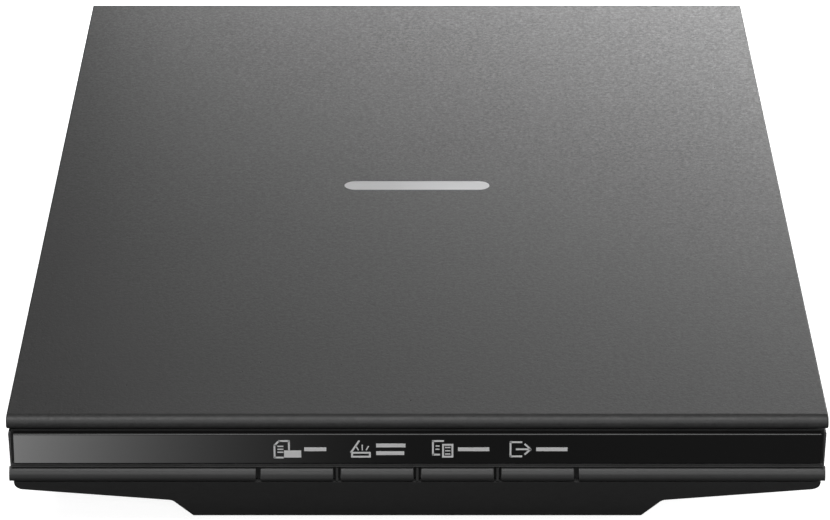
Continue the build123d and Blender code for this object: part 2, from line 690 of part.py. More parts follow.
def carriage_frame():
    """Chassis: cradle for the sensor, plate for the motor and gears, tunnel round the rod."""
    y = CARRIAGE_Y
    cradle = block(-CRADLE_HALF, CRADLE_HALF, y - CRADLE_Y, y + CRADLE_Y, CRADLE_FLOOR, 24.5)
    cradle -= block(-CRADLE_HALF + 1.2, CRADLE_HALF - 1.2, y - CRADLE_Y + 1.2, y + CRADLE_Y - 1.2,
                    CRADLE_FLOOR + 1.1, 30)
    plate = block(-10, 65, FRAME_FRONT, FRAME_REAR, PLATE_Z, PLATE_Z + PLATE_THICK)
    plate += block(-60, -9, FRAME_FRONT, y + CRADLE_Y, PLATE_Z, PLATE_Z + PLATE_THICK)
    neck = block(-60, 65, y - CRADLE_Y, y + CRADLE_Y, PLATE_Z + PLATE_THICK - 0.1, CRADLE_FLOOR + 0.1)
    tunnel = block(-6.6, 6.6, FRAME_FRONT, FRAME_REAR, 8.6, PLATE_Z + 0.1)
    frame = cradle + plate + neck + tunnel
    frame -= bar_y(0, ROD_Z, FRAME_FRONT - 1, FRAME_REAR + 1, 4.0)
    frame -= disc(DRIVE_X, GEAR_Y, PLATE_Z - 1, PLATE_Z + PLATE_THICK, AXLE_RADIUS)
    frame -= disc(IDLER_X, GEAR_Y, PLATE_Z - 1, PLATE_Z + PLATE_THICK, AXLE_RADIUS)
    frame -= disc(MOTOR_X, MOTOR_Y, PLATE_Z - 1, PLATE_Z + 3, 3.0)
    for side in (-1, 1):
        frame -= disc(MOTOR_X + side * FLANGE_HOLES, MOTOR_Y, PLATE_Z - 1, PLATE_Z + 3, 0.85)
    return frame


def rod_bushes():
    """Two sleeves pressed into the tunnel's ends that slide on the rod."""
    bushes = []
    for y0 in (FRAME_FRONT, FRAME_REAR - 7.0):
        outer = bar_y(0, ROD_Z, y0, y0 + 7.0, 4.0)
        bushes.append(outer - bar_y(0, ROD_Z, y0 - 1, y0 + 8.0, ROD_RADIUS + 0.05))
    return Compound(children=bushes)


def motor_flange():
    z = PLATE_Z + PLATE_THICK
    flange = disc(MOTOR_X, MOTOR_Y, z, z + 0.8, 8.4)
    flange += block(MOTOR_X - FLANGE_HOLES, MOTOR_X + FLANGE_HOLES, MOTOR_Y - 2.6, MOTOR_Y + 2.6, z, z + 0.8)
    for side in (-1, 1):
        flange += disc(MOTOR_X + side * FLANGE_HOLES, MOTOR_Y, z, z + 0.8, 2.6)
        flange -= disc(MOTOR_X + side * FLANGE_HOLES, MOTOR_Y, z - 1, z + 2, 0.95)
    return flange - disc(MOTOR_X, MOTOR_Y, z - 1, z + 2, 2.6)


def scan_motor():
    """Can on top of the flange, bored for the shaft that carries the pinion."""
    z = PLATE_Z + PLATE_THICK + 0.8
    can = disc(MOTOR_X, MOTOR_Y, z, 29.4, MOTOR_RADIUS)
    can = fillet(can.edges().group_by(Axis.Z)[-1], 1.0)
    can += disc(MOTOR_X, MOTOR_Y, z - 0.9, z + 0.1, 2.5)
    return can - disc(MOTOR_X, MOTOR_Y, z - 1, MOTOR_BORE_TOP, AXLE_RADIUS + AXLE_CLEARANCE)


def motor_shaft():
    return disc(MOTOR_X, MOTOR_Y, 12.4, MOTOR_BORE_TOP - 0.3, AXLE_RADIUS)


def motor_screws():
    z = PLATE_Z + PLATE_THICK + 0.8
    places = [MOTOR_X - FLANGE_HOLES, MOTOR_X + FLANGE_HOLES]
    return Compound(children=[screw(x, MOTOR_Y, z, -1, 0.8, 2.6, 1.7, 0.9) for x in places])


def coil_spring(x, y, z0, z1, radius, wire, turns):
    path = Pos(x, y, z0 + wire) * Helix((z1 - z0 - 2 * wire) / turns, z1 - z0 - 2 * wire, radius)
    profile = Plane(origin=path @ 0, z_dir=path % 0) * Circle(wire)
    return sweep(profile, path=path)


def cis_springs():
    low = CRADLE_FLOOR + 1.1
    springs = [coil_spring(x, CARRIAGE_Y, low, low + 5.2, 2.0, 0.25, 5) for x in SPRING_X]
    return Compound(children=springs)


# ---------------------------------------------------------------- contact image sensor

def cis_housing():
    y = CARRIAGE_Y
    body = block(-CIS_HALF, CIS_HALF, y - CIS_DEPTH, y + CIS_DEPTH, CIS_BOTTOM, CIS_TOP)
    for side in (-1, 1):
        ends = sorted((side * 101.0, side * CIS_HALF))
        body += block(*ends, y - CIS_DEPTH, y + CIS_DEPTH, 20.7, CIS_BOTTOM + 0.1)
    for x in SPRING_X:
        body -= disc(x, y, 20, CRADLE_FLOOR + 6.3, 2.6)
    body -= block(-105, 105, y - 1.0, y + 1.0, CIS_BOTTOM - 1, CIS_TOP + 1)
    body -= block(-106, 106, y + 2.4, y + 5.6, 28.4, CIS_TOP + 1)
    return body


def rod_lens_array():
    return block(-105, 105, CARRIAGE_Y - 1.0, CARRIAGE_Y + 1.0, 25.0, CIS_TOP + 0.2)


def light_guide():
    return block(-106, 106, CARRIAGE_Y + 2.4, CARRIAGE_Y + 5.6, 28.4, CIS_TOP)


def sensor_board():
    board = block(-100.5, 100.5, CARRIAGE_Y - 7.0, CARRIAGE_Y + 7.0, 20.7, CIS_BOTTOM)
    chips = block(-99, 99, CARRIAGE_Y - 0.45, CARRIAGE_Y + 0.45, CIS_BOTTOM, CIS_BOTTOM + 0.6)
    return board + chips


def cis_glides():
    """Low-friction pads on the sensor's ends that ride on the glass."""
    pads = []
    for side in (-1, 1):
        for y in (CARRIAGE_Y - 5.0, CARRIAGE_Y + 5.0):
            low, high = sorted((side * 106.6, side * 109.6))
            pads.append(block(low, high, y - 2.0, y + 2.0, CIS_TOP, GLASS_BOTTOM - 0.06))
    return Compound(children=pads)


# ---------------------------------------------------------------- flat cable

CABLE = (-55.0, -43.0)
CABLE_THICK = 0.3
CABLE_RISE = 155.3


def flat_cable():
    """Ribbon from the board, down to the floor, round a rolling loop and back to the carriage."""
    low = FLOOR + 0.3
    high = PLATE_Z - 0.4
    loop_y = 20.0
    t = CABLE_THICK
    plug = BOARD_Z + 2.65
    strips = [
        block(*CABLE, CARRIAGE_Y + 2.0, loop_y, high, high + t),
        block(*CABLE, loop_y, CABLE_RISE + t, low, low + t),
        block(*CABLE, CABLE_RISE, CABLE_RISE + t, low, plug + t),
        block(*CABLE, CABLE_RISE, 160.6, plug, plug + t),
    ]
    middle = (low + high + t) / 2
    radius = (high + t - low) / 2
    bend = bar_x(loop_y, middle, *CABLE, radius) - bar_x(loop_y, middle, *CABLE, radius - t)
    bend &= block(*CABLE, loop_y, loop_y + 20, 0, 30)
    back = block(*CABLE, -7.0, loop_y, low, low + t)
    return union(strips) + bend + back


# ---------------------------------------------------------------- write the parts

PARTS = {
    "lower_shell": lower_shell,
    "upper_frame": upper_frame,
    "platen_glass": platen_glass,
    "glass_tape": glass_tape,
    "calibration_strip": calibration_strip,
    "front_panel": front_panel,
    "button_trim": button_trim,
    "rubber_feet": rubber_feet,
    "case_screws": case_screws,
    "guide_rod": guide_rod,
    "front_rod_holder": lambda: rod_holder(-173.0, -169.3, -166.0),
    "rear_rod_holder": lambda: rod_holder(174.0, 176.8, 172.6),
    "rod_screws": rod_screws,
    "drive_rack": drive_rack,
    "rack_screws": rack_screws,
    "main_board": main_board,
    "main_board_chip": main_board_chip,
    "cable_socket": cable_socket,
    "usb_socket": usb_socket,
    "board_screws": board_screws,
    "button_board": button_board,
    "button_board_screws": button_board_screws,
    "tact_switches": tact_switches,
    "left_hinge_guide": lambda: hinge_guide(-HINGE_X),
    "right_hinge_guide": lambda: hinge_guide(HINGE_X),
    "flat_cable": flat_cable,
    "left_hinge_post": lambda: hinge_post(-HINGE_X),
    "right_hinge_post": lambda: hinge_post(HINGE_X),
    "hinge_pins": hinge_pins,
    "lid_shell": lid_shell,
    "lid_liner": lid_liner,
    "pad_foam": pad_foam,
    "pad_sheet": pad_sheet,
    "lid_badge": lid_badge,
    "left_lid_bracket": lambda: lid_bracket(-HINGE_X),
    "right_lid_bracket": lambda: lid_bracket(HINGE_X),
    "lid_screws": lid_screws,
    "carriage_frame": carriage_frame,
    "rod_bushes": rod_bushes,
    "scan_motor": scan_motor,
    "motor_flange": motor_flange,
    "motor_screws": motor_screws,
    "gear_axles": gear_axles,
    "cis_springs": cis_springs,
    "motor_pinion": motor_pinion,
    "motor_shaft": motor_shaft,
    "reduction_gear": reduction_gear,
    "drive_gear": drive_gear,
    "cis_housing": cis_housing,
    "rod_lens_array": rod_lens_array,
    "light_guide": light_guide,
    "sensor_board": sensor_board,
    "cis_glides": cis_glides,
}
for name, x in zip(BUTTON_NAMES, BUTTON_X):
    PARTS[name] = lambda x=x: button(x)

for name, make in PARTS.items():
    export_step(make(), f"parts/{name}.step")
    print(name)
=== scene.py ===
"""Looks for the flatbed scanner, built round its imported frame.

Metres. Origin on the table under the middle of the scanner, +X to the right of a person facing
the buttons, +Y from the buttons to the hinges, +Z up. Sections follow the scanner's assembly.
"""

import math

import bpy
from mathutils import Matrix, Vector


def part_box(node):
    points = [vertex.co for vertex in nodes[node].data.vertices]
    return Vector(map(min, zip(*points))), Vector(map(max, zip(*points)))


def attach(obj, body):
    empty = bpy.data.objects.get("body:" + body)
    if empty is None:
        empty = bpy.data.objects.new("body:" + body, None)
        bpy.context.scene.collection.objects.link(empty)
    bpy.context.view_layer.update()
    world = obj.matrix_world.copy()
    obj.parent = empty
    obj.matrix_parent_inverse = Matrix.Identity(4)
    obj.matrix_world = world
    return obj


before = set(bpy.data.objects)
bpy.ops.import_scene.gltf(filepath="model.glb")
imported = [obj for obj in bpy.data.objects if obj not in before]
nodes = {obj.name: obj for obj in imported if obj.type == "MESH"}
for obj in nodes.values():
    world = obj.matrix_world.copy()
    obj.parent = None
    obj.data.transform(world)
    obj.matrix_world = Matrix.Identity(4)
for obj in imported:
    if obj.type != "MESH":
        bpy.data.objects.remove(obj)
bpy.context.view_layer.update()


# ---------------------------------------------------------------- lid shell
# The lid's outer cover: one charcoal ABS moulding with a fine spark-eroded grain, slightly
# mottled where the grain catches the light. It is screwed to the liner under it.

def new_group(name, inputs, outputs):
    """Empty shader group with named inputs, each with a start value, and named outputs."""
    group = bpy.data.node_groups.new(name, "ShaderNodeTree")
    for label, kind, start in inputs:
        socket = group.interface.new_socket(label, in_out="INPUT", socket_type=kind)
        if start is not None:
            socket.default_value = start
    for label, kind in outputs:
        group.interface.new_socket(label, in_out="OUTPUT", socket_type=kind)
    group.nodes.new("NodeGroupInput").name = "in"
    group.nodes.new("NodeGroupOutput").name = "out"
    return group


def wire(tree, source, target):
    tree.links.new(source, target)


def math_node(tree, operation, a, b, clamp=False):
    node = tree.nodes.new("ShaderNodeMath")
    node.operation = operation
    node.use_clamp = clamp
    for socket, value in zip(node.inputs, (a, b)):
        if isinstance(value, (int, float)):
            socket.default_value = value
        else:
            wire(tree, value, socket)
    return node.outputs[0]


def noise(tree, vector, scale, detail=3.0, roughness=0.5):
    node = tree.nodes.new("ShaderNodeTexNoise")
    wire(tree, vector, node.inputs["Vector"])
    if isinstance(scale, (int, float)):
        node.inputs["Scale"].default_value = scale
    else:
        wire(tree, scale, node.inputs["Scale"])
    node.inputs["Detail"].default_value = detail
    node.inputs["Roughness"].default_value = roughness
    return node.outputs["Fac"]


FINE_SHARE = 0.55
MEAN_NOISE = 0.5


def make_moulded_grain():
    """Spark-eroded mould grain: fine pits, a slower mottle, and the colour shift they give."""
    group = new_group(
        "moulded_grain",
        [("Vector", "NodeSocketVector", None), ("Color", "NodeSocketColor", (0.05, 0.05, 0.05, 1)),
         ("Grain Scale", "NodeSocketFloat", 2600.0), ("Mottle Scale", "NodeSocketFloat", 420.0),
         ("Speckle", "NodeSocketFloat", 0.2), ("Roughness", "NodeSocketFloat", 0.5),
         ("Roughness Spread", "NodeSocketFloat", 0.1)],
        [("Color", "NodeSocketColor"), ("Roughness", "NodeSocketFloat"), ("Height", "NodeSocketFloat")],
    )
    put, out = group.nodes["in"].outputs, group.nodes["out"].inputs
    fine = noise(group, put["Vector"], put["Grain Scale"], 2.0)
    slow = noise(group, put["Vector"], put["Mottle Scale"], 3.0, 0.6)
    fine_part = math_node(group, "MULTIPLY", fine, FINE_SHARE)
    slow_part = math_node(group, "MULTIPLY", slow, 1 - FINE_SHARE)
    mixed = math_node(group, "ADD", fine_part, slow_part)
    centred = math_node(group, "SUBTRACT", mixed, MEAN_NOISE)
    gain = math_node(group, "ADD", math_node(group, "MULTIPLY", centred, put["Speckle"]), 1.0)
    tint = group.nodes.new("ShaderNodeVectorMath")
    tint.operation = "SCALE"
    wire(group, put["Color"], tint.inputs[0])
    wire(group, gain, tint.inputs["Scale"])
    wire(group, tint.outputs[0], out["Color"])
    spread = math_node(group, "MULTIPLY", centred, put["Roughness Spread"])
    wire(group, math_node(group, "ADD", spread, put["Roughness"], clamp=True), out["Roughness"])
    wire(group, mixed, out["Height"])
    return group


WEAR_AND_HIGHLIGHT_PATCH_SCALE = 60.0
WEAR_AND_HIGHLIGHT_GAIN = 4.0


def make_edge_wear_and_highlight():
    """Polish that hands leave along edges and corners, and on the upper frame a painted highlight along its
    edges, as a mask that is 1 on such an edge.
    """
    group = new_group(
        "edge_wear_and_highlight",
        [("Vector", "NodeSocketVector", None), ("Width", "NodeSocketFloat", 0.0012),
         ("Amount", "NodeSocketFloat", 0.5)],
        [("Mask", "NodeSocketFloat")],
    )
    put, out = group.nodes["in"].outputs, group.nodes["out"].inputs
    bevel = group.nodes.new("ShaderNodeBevel")
    bevel.samples = 4
    wire(group, put["Width"], bevel.inputs["Radius"])
    face = group.nodes.new("ShaderNodeNewGeometry")
    dot = group.nodes.new("ShaderNodeVectorMath")
    dot.operation = "DOT_PRODUCT"
    wire(group, bevel.outputs[0], dot.inputs[0])
    wire(group, face.outputs["Normal"], dot.inputs[1])
    sharp = math_node(group, "SUBTRACT", 1.0, dot.outputs["Value"], clamp=True)
    patches = math_node(group, "MULTIPLY", noise(group, put["Vector"], WEAR_AND_HIGHLIGHT_PATCH_SCALE), WEAR_AND_HIGHLIGHT_GAIN)
    broken = math_node(group, "MULTIPLY", sharp, patches)
    wire(group, math_node(group, "MULTIPLY", broken, put["Amount"], clamp=True), out["Mask"])
    return group


DUST_TILT = 0.6
DUST_PATCH_SCALE = 14.0
DUST_SPECK_SCALE = 900.0


def make_fine_dust():
    """Thin dust on faces that look up, in soft patches."""
    group = new_group(
        "fine_dust",
        [("Vector", "NodeSocketVector", None), ("Amount", "NodeSocketFloat", 0.1)],
        [("Mask", "NodeSocketFloat")],
    )
    put, out = group.nodes["in"].outputs, group.nodes["out"].inputs
    face = group.nodes.new("ShaderNodeNewGeometry")
    up = group.nodes.new("ShaderNodeSeparateXYZ")
    wire(group, face.outputs["Normal"], up.inputs[0])
    above = math_node(group, "SUBTRACT", up.outputs["Z"], DUST_TILT, clamp=True)
    level = math_node(group, "MULTIPLY", above, 1 / (1 - DUST_TILT), clamp=True)
    broad = noise(group, put["Vector"], DUST_PATCH_SCALE, 4.0)
    specks = noise(group, put["Vector"], DUST_SPECK_SCALE, 2.0)
    settled = math_node(group, "MULTIPLY", level, math_node(group, "MULTIPLY", broad, specks))
    wire(group, math_node(group, "MULTIPLY", settled, put["Amount"]), out["Mask"])
    return group


MOULDED_GRAIN = make_moulded_grain()
EDGE_WEAR_AND_HIGHLIGHT = make_edge_wear_and_highlight()
FINE_DUST = make_fine_dust()


def group_node(tree, group, vector, **values):
    node = tree.nodes.new("ShaderNodeGroup")
    node.node_tree = group
    wire(tree, vector, node.inputs["Vector"])
    for label, value in values.items():
        node.inputs[label.replace("_", " ")].default_value = value
    return node


def mix_color(tree, mask, first, second):
    node = tree.nodes.new("ShaderNodeMix")
    node.data_type = "RGBA"
    wire(tree, mask, node.inputs["Factor"])
    for socket, value in ((node.inputs["A"], first), (node.inputs["B"], second)):
        if isinstance(value, tuple):
            socket.default_value = value
        else:
            wire(tree, value, socket)
    return node.outputs["Result"]


def grey(value, warm=0.0):
    return (value * (1 + warm), value, value * (1 - warm), 1.0)


def start_material(name):
    """Material with a plain Principled shader, and the piece's own coordinates for its patterns."""
    material = bpy.data.materials.new(name)
    material.use_nodes = True
    tree = material.node_tree
    shader = tree.nodes["Principled BSDF"]
    place = tree.nodes.new("ShaderNodeTexCoord").outputs["Object"]
    return material, tree, shader, place


def add_bump(tree, shader, height, distance, strength=1.0):
    bump = tree.nodes.new("ShaderNodeBump")
    bump.inputs["Distance"].default_value = distance
    bump.inputs["Strength"].default_value = strength
    wire(tree, height, bump.inputs["Height"])
    wire(tree, bump.outputs["Normal"], shader.inputs["Normal"])


DUST_GREY = grey(0.4, 0.04)


def moulded_plastic(name, color, rough, spread=0.12, speckle=0.3, grain=2600.0, mottle=420.0,
                    depth=0.00002, strength=0.5, wear_and_highlight=0.25, worn_and_highlight_color=None, dust=0.05, specular=0.5):
    """Grained plastic: mould grain, edges a little paler where hands rub them, and thin dust. On the upper
    frame the pale edges are a painted highlight.
    """
    material, tree, shader, place = start_material(name)
    grained = group_node(tree, MOULDED_GRAIN, place, Color=color, Grain_Scale=grain, Mottle_Scale=mottle,
                         Speckle=speckle, Roughness=rough, Roughness_Spread=spread)
    edges = group_node(tree, EDGE_WEAR_AND_HIGHLIGHT, place, Amount=wear_and_highlight)
    powder = group_node(tree, FINE_DUST, place, Amount=dust)
    # Pale edge colour: rubbed plastic on most parts, and on the upper frame a painted highlight.
    pale = worn_and_highlight_color or tuple(min(1.0, c * 1.6 + 0.01) for c in color[:3]) + (1.0,)
    rubbed_and_highlit = mix_color(tree, edges.outputs["Mask"], grained.outputs["Color"], pale)
    wire(tree, mix_color(tree, powder.outputs["Mask"], rubbed_and_highlit, DUST_GREY), shader.inputs["Base Color"])
    wire(tree, grained.outputs["Roughness"], shader.inputs["Roughness"])
    shader.inputs["Specular IOR Level"].default_value = specular
    add_bump(tree, shader, grained.outputs["Height"], depth, strength)
    return material


def dress(material, *names):
    """Give a frame node this finish in place of the plain one it came with."""
    for name in names:
        mesh = nodes[name].data
        mesh.materials.clear()
        mesh.materials.append(material)


LID_CHARCOAL = moulded_plastic("lid_charcoal", grey(0.034), 0.455, spread=0.9, speckle=1.6, grain=1700.0,
                               mottle=620.0, depth=0.00007, strength=1.0, wear_and_highlight=0.12)
dress(LID_CHARCOAL, "lid_shell")


# ---------------------------------------------------------------- lid badge
# Plain blank plate of thin aluminium with a satin brushed face and round ends, let into a
# shallow pocket in the lid.

BRUSH_LONG = 40.0
BRUSH_FINE = 2600.0
BRUSH_DEPTH = 0.000004
METAL_DUST = 0.03


def brushed_metal(name, color, rough, along="X", streak=0.25):
    """Metal with fine straight brush lines along one axis."""
    material, tree, shader, place = start_material(name)
    stretch = tree.nodes.new("ShaderNodeMapping")
    stretch.inputs["Scale"].default_value = [BRUSH_LONG if axis == along else BRUSH_FINE for axis in "XYZ"]
    wire(tree, place, stretch.inputs["Vector"])
    lines = noise(tree, stretch.outputs["Vector"], 1.0, 2.0)
    cloud = noise(tree, place, 70.0, 4.0)
    rub = math_node(tree, "MULTIPLY", math_node(tree, "SUBTRACT", cloud, MEAN_NOISE), streak * 0.4)
    brush = math_node(tree, "MULTIPLY", math_node(tree, "SUBTRACT", lines, MEAN_NOISE), streak)
    rough_value = math_node(tree, "ADD", brush, rough)
    wire(tree, math_node(tree, "ADD", rough_value, rub, clamp=True), shader.inputs["Roughness"])
    powder = group_node(tree, FINE_DUST, place, Amount=METAL_DUST)
    darker = tuple(c * 0.82 for c in color[:3]) + (1.0,)
    brushed = mix_color(tree, lines, darker, color)
    wire(tree, mix_color(tree, powder.outputs["Mask"], brushed, DUST_GREY), shader.inputs["Base Color"])
    shader.inputs["Metallic"].default_value = 1.0
    add_bump(tree, shader, lines, BRUSH_DEPTH, 0.6)
    return material


SATIN_SILVER = brushed_metal("satin_silver", (0.78, 0.78, 0.79, 1), 0.34)
dress(SATIN_SILVER, "lid_badge")


# ---------------------------------------------------------------- lid inside
# Black liner that closes the lid, the foam bonded under it, and the smooth white sheet that
# presses the paper flat. The same white film makes the calibration strip under the frame.

LINER_BLACK = moulded_plastic("liner_black", grey(0.018), 0.5, speckle=0.35)
FOAM_CELL = 900.0


def make_foam():
    """Closed-cell foam: small open pores where it was cut."""
    material, tree, shader, place = start_material("pad_foam")
    cells = tree.nodes.new("ShaderNodeTexVoronoi")
    cells.inputs["Scale"].default_value = FOAM_CELL
    wire(tree, place, cells.inputs["Vector"])
    shade = mix_color(tree, cells.outputs["Distance"], grey(0.10), grey(0.24))
    wire(tree, shade, shader.inputs["Base Color"])
    shader.inputs["Roughness"].default_value = 0.95
    add_bump(tree, shader, cells.outputs["Distance"], 0.0004, 0.7)
    return material


SHEET_FLOW_SCALE = 380.0


def smooth_sheet(name, color, rough):
    """Matt film with a barely visible flow to its surface and a little rubbed shine."""
    material, tree, shader, place = start_material(name)
    flow = noise(tree, place, SHEET_FLOW_SCALE, 3.0)
    rubbed = noise(tree, place, 9.0, 4.0)
    darker = tuple(c * 0.94 for c in color[:3]) + (1.0,)
    wire(tree, mix_color(tree, rubbed, darker, color), shader.inputs["Base Color"])
    spread = math_node(tree, "MULTIPLY", math_node(tree, "SUBTRACT", rubbed, MEAN_NOISE), 0.16)
    wire(tree, math_node(tree, "ADD", spread, rough, clamp=True), shader.inputs["Roughness"])
    add_bump(tree, shader, flow, 0.00001, 0.4)
    return material


WHITE_SHEET = smooth_sheet("white_sheet", (0.86, 0.87, 0.86, 1), 0.42)
dress(LINER_BLACK, "lid_liner")
dress(make_foam(), "pad_foam")
dress(WHITE_SHEET, "pad_sheet", "calibration_strip")


# ---------------------------------------------------------------- upper frame and lower shell
# Two ABS mouldings that close on each other all round, held by six screws. The frame's grain is a little
# finer than the hull's, and its edges carry a painted highlight in a pale grey.

# The pale grey laid strongly along the frame's edges is a painted highlight.
FRAME_CHARCOAL = moulded_plastic("frame_charcoal", grey(0.022), 0.58, speckle=0.8, grain=2200.0, wear_and_highlight=0.9,
                                 worn_and_highlight_color=grey(0.16))
HULL_BLACK = moulded_plastic("hull_black", grey(0.073), 0.55, speckle=0.8, grain=1800.0, wear_and_highlight=0.12)
dress(FRAME_CHARCOAL, "upper_frame")
dress(HULL_BLACK, "lower_shell")


# ---------------------------------------------------------------- front panel
# Piano-black cover strip, injection moulded and polished, pegged into the frame. Four plain
# marks, one above each button, are printed on it in pale grey ink.

PANEL_RIPPLE = 0.00002


def polished_plastic(name, color, rough):
    """Polished moulding with a very slight ripple and hairline wipe marks."""
    material, tree, shader, place = start_material(name)
    ripple = noise(tree, place, 26.0, 2.0)
    hair = tree.nodes.new("ShaderNodeMapping")
    hair.inputs["Scale"].default_value = (30, 900, 1500)
    hair.inputs["Rotation"].default_value = (0.2, 0.1, 0.12)
    wire(tree, place, hair.inputs["Vector"])
    wiped = noise(tree, hair.outputs["Vector"], 1.0, 3.0)
    smear = math_node(tree, "MULTIPLY", math_node(tree, "SUBTRACT", wiped, 0.45, clamp=True), 0.10)
    wire(tree, math_node(tree, "ADD", smear, rough, clamp=True), shader.inputs["Roughness"])
    deep = tuple(c * 0.8 for c in color[:3]) + (1.0,)
    wire(tree, mix_color(tree, ripple, deep, color), shader.inputs["Base Color"])
    shader.inputs["Coat Weight"].default_value = 0.6
    shader.inputs["Coat Roughness"].default_value = 0.03
    add_bump(tree, shader, ripple, PANEL_RIPPLE, 0.12)
    return material


PIANO_BLACK = polished_plastic("piano_black", grey(0.008), 0.10)
dress(PIANO_BLACK, "front_panel")

panel_low, panel_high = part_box("front_panel")
PANEL_MIDDLE = (panel_low[2] + panel_high[2]) / 2
INK_FACE = panel_low[1]
INK_THICK = 0.00006
INK_GREY = 0.92


def make_ink(name, value):
    """Screen-printed ink: flat, a touch uneven at the edge of each screen cell."""
    material, tree, shader, place = start_material(name)
    cells = noise(tree, place, 5200.0, 2.0)
    wire(tree, mix_color(tree, cells, grey(value * 0.88), grey(value)), shader.inputs["Base Color"])
    shader.inputs["Roughness"].default_value = 0.55
    add_bump(tree, shader, cells, 0.00001, 0.3)
    return material


PALE_INK = make_ink("pale_ink", INK_GREY)

# Height of a mark, the widths of its lines, and the bars that stand for a label.
ICON = 0.0056
LINE = 0.00056
THIN = 0.00038
BAR = 0.00125
LABEL_PITCH = 0.0026
LINE_OVERRUN = 0.6
MARK_DROP = 0.0001


def printed_line(x0, z0, x1, z1, width):
    """One straight printed line: a plane stood up on the panel's face, to be given the ink's thickness when
    the mark is joined.
    """
    slope = math.atan2(z1 - z0, x1 - x0)
    bpy.ops.object.select_all(action="DESELECT")
    bpy.ops.mesh.primitive_plane_add(size=1, location=((x0 + x1) / 2, INK_FACE, (z0 + z1) / 2),
                                     rotation=(math.pi / 2, -slope, 0))
    line = bpy.context.object
    line.scale = (math.hypot(x1 - x0, z1 - z0) + width * LINE_OVERRUN, width, 1)
    bpy.ops.object.transform_apply(location=True, rotation=True, scale=True)
    return line


def printed_box(x, z, wide, high, width):
    """Printed outline of a rectangle: a plane inset by the line's width, with its middle taken out."""
    bpy.ops.object.select_all(action="DESELECT")
    bpy.ops.mesh.primitive_plane_add(size=1, location=(x + wide / 2, INK_FACE, z + high / 2),
                                     rotation=(math.pi / 2, 0, 0))
    frame_line = bpy.context.object
    frame_line.scale = (wide, high, 1)
    bpy.ops.object.transform_apply(location=True, rotation=True, scale=True)
    bpy.ops.object.mode_set(mode="EDIT")
    bpy.ops.mesh.select_all(action="SELECT")
    bpy.ops.mesh.inset(thickness=width)
    bpy.ops.mesh.delete(type="FACE")
    bpy.ops.object.mode_set(mode="OBJECT")
    return frame_line


def printed_mark(name, shapes):
    """Join printed lines into one mark and give it the thickness of a coat of ink."""
    bpy.ops.object.select_all(action="DESELECT")
    for shape in shapes:
        shape.select_set(True)
    bpy.context.view_layer.objects.active = shapes[0]
    bpy.ops.object.join()
    mark = bpy.context.object
    mark.name = mark.data.name = name
    bpy.ops.object.modifier_add(type="SOLIDIFY")
    mark.modifiers[0].thickness = 2 * INK_THICK
    mark.modifiers[0].offset = 0
    bpy.ops.object.modifier_apply(modifier=mark.modifiers[0].name)
    mark.data.materials.append(PALE_INK)
    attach(mark, "base")


def label_bars(x, z, lengths):
    """Plain bars that stand where a label would be, one for each line of it."""
    top = z + LABEL_PITCH * (len(lengths) - 1) / 2
    return [printed_line(x, top - row * LABEL_PITCH, x + length, top - row * LABEL_PITCH, BAR)
            for row, length in enumerate(lengths)]


def document_mark(x, z):
    """Sheet with a cut corner and lines of writing, and a solid tag."""
    low, high = z - ICON / 2, z + ICON / 2
    cut, wide = 0.0014, 0.0044
    corners = [(x, low), (x, high - cut), (x + cut, high), (x + wide, high), (x + wide, z - 0.0001)]
    edge = [printed_line(*start, *end, LINE) for start, end in zip(corners, corners[1:])]
    foot = printed_line(x, low, x + 0.0026, low, LINE)
    tag = printed_line(x + 0.0036, z - 0.0016, x + 0.0074, z - 0.0016, 0.0024)
    pitch = 0.0010
    lines = [printed_line(x + 0.0010, z + row * pitch, x + 0.0026, z + row * pitch, THIN)
             for row in (-1, 0, 1)]
    return edge + [foot, tag] + lines + label_bars(x + 0.0094, z, (0.0060,))


def scan_mark(x, z):
    """Open scanner seen from the side, with light rising from its bed."""
    low = z - ICON / 2
    lid = printed_line(x, low + 0.0018, x + 0.0024, low + 0.0056, LINE)
    middle = x + 0.0034
    rays = [printed_line(middle + 0.0012 * side, low + 0.0026,
                         middle + 0.0019 * side, low + 0.0042 - 0.0004 * abs(side), THIN)
            for side in (-1, 0, 1)]
    bed = printed_box(x, low, 0.0060, 0.0019, LINE)
    return [bed, lid] + rays + label_bars(x + 0.0080, z, (0.0082, 0.0078))


def copy_mark(x, z):
    """Two sheets, one in front of the other."""
    low, high = z - ICON / 2, z + ICON / 2
    front = printed_box(x + 0.0028, low, 0.0034, ICON - 0.0010, LINE)
    edge = [printed_line(x, low + 0.0010, x, high, LINE), printed_line(x, high, x + 0.0032, high, LINE),
            printed_line(x, low + 0.0010, x + 0.0020, low + 0.0010, LINE)]
    pitch, lowest = 0.0011, z - 0.0016
    lines = [printed_line(x + 0.0038, lowest + row * pitch, x + 0.0052, lowest + row * pitch, THIN)
             for row in range(3)]
    behind = [printed_line(x + 0.0009, z + row * pitch, x + 0.0019, z + row * pitch, THIN)
              for row in range(2)]
    return [front] + edge + lines + behind + label_bars(x + 0.0080, z, (0.0088,))


def send_mark(x, z):
    """Arrow leaving an open box."""
    wide, half = 0.0034, 0.0024
    corners = [(x + wide, z + half), (x, z + half), (x, z - half), (x + wide, z - half)]
    box = [printed_line(*start, *end, LINE) for start, end in zip(corners, corners[1:])]
    shaft = printed_line(x + 0.0018, z, x + 0.0060, z, LINE)
    head = [printed_line(x + 0.0061, z, x + 0.0044, z + side * 0.0017, LINE) for side in (-1, 1)]
    return box + [shaft] + head + label_bars(x + 0.0082, z, (0.0088,))


# Each button's mark, and how far it stands in from the button's left end.
MARKS = (("document", document_mark, 0.0045), ("scan", scan_mark, 0.0033),
         ("copy", copy_mark, 0.0037), ("send", send_mark, 0.0028))
for button_name, draw, margin in MARKS:
    key_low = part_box(button_name + "_button")[0]
    printed_mark(button_name + "_mark", draw(key_low[0] + margin, PANEL_MIDDLE - MARK_DROP))


# ---------------------------------------------------------------- trim and buttons
# The rounded trim and the four keys between its ends share one satin charcoal ABS, moulded
# with a softer grain than the lid so that it feels smooth under a finger.

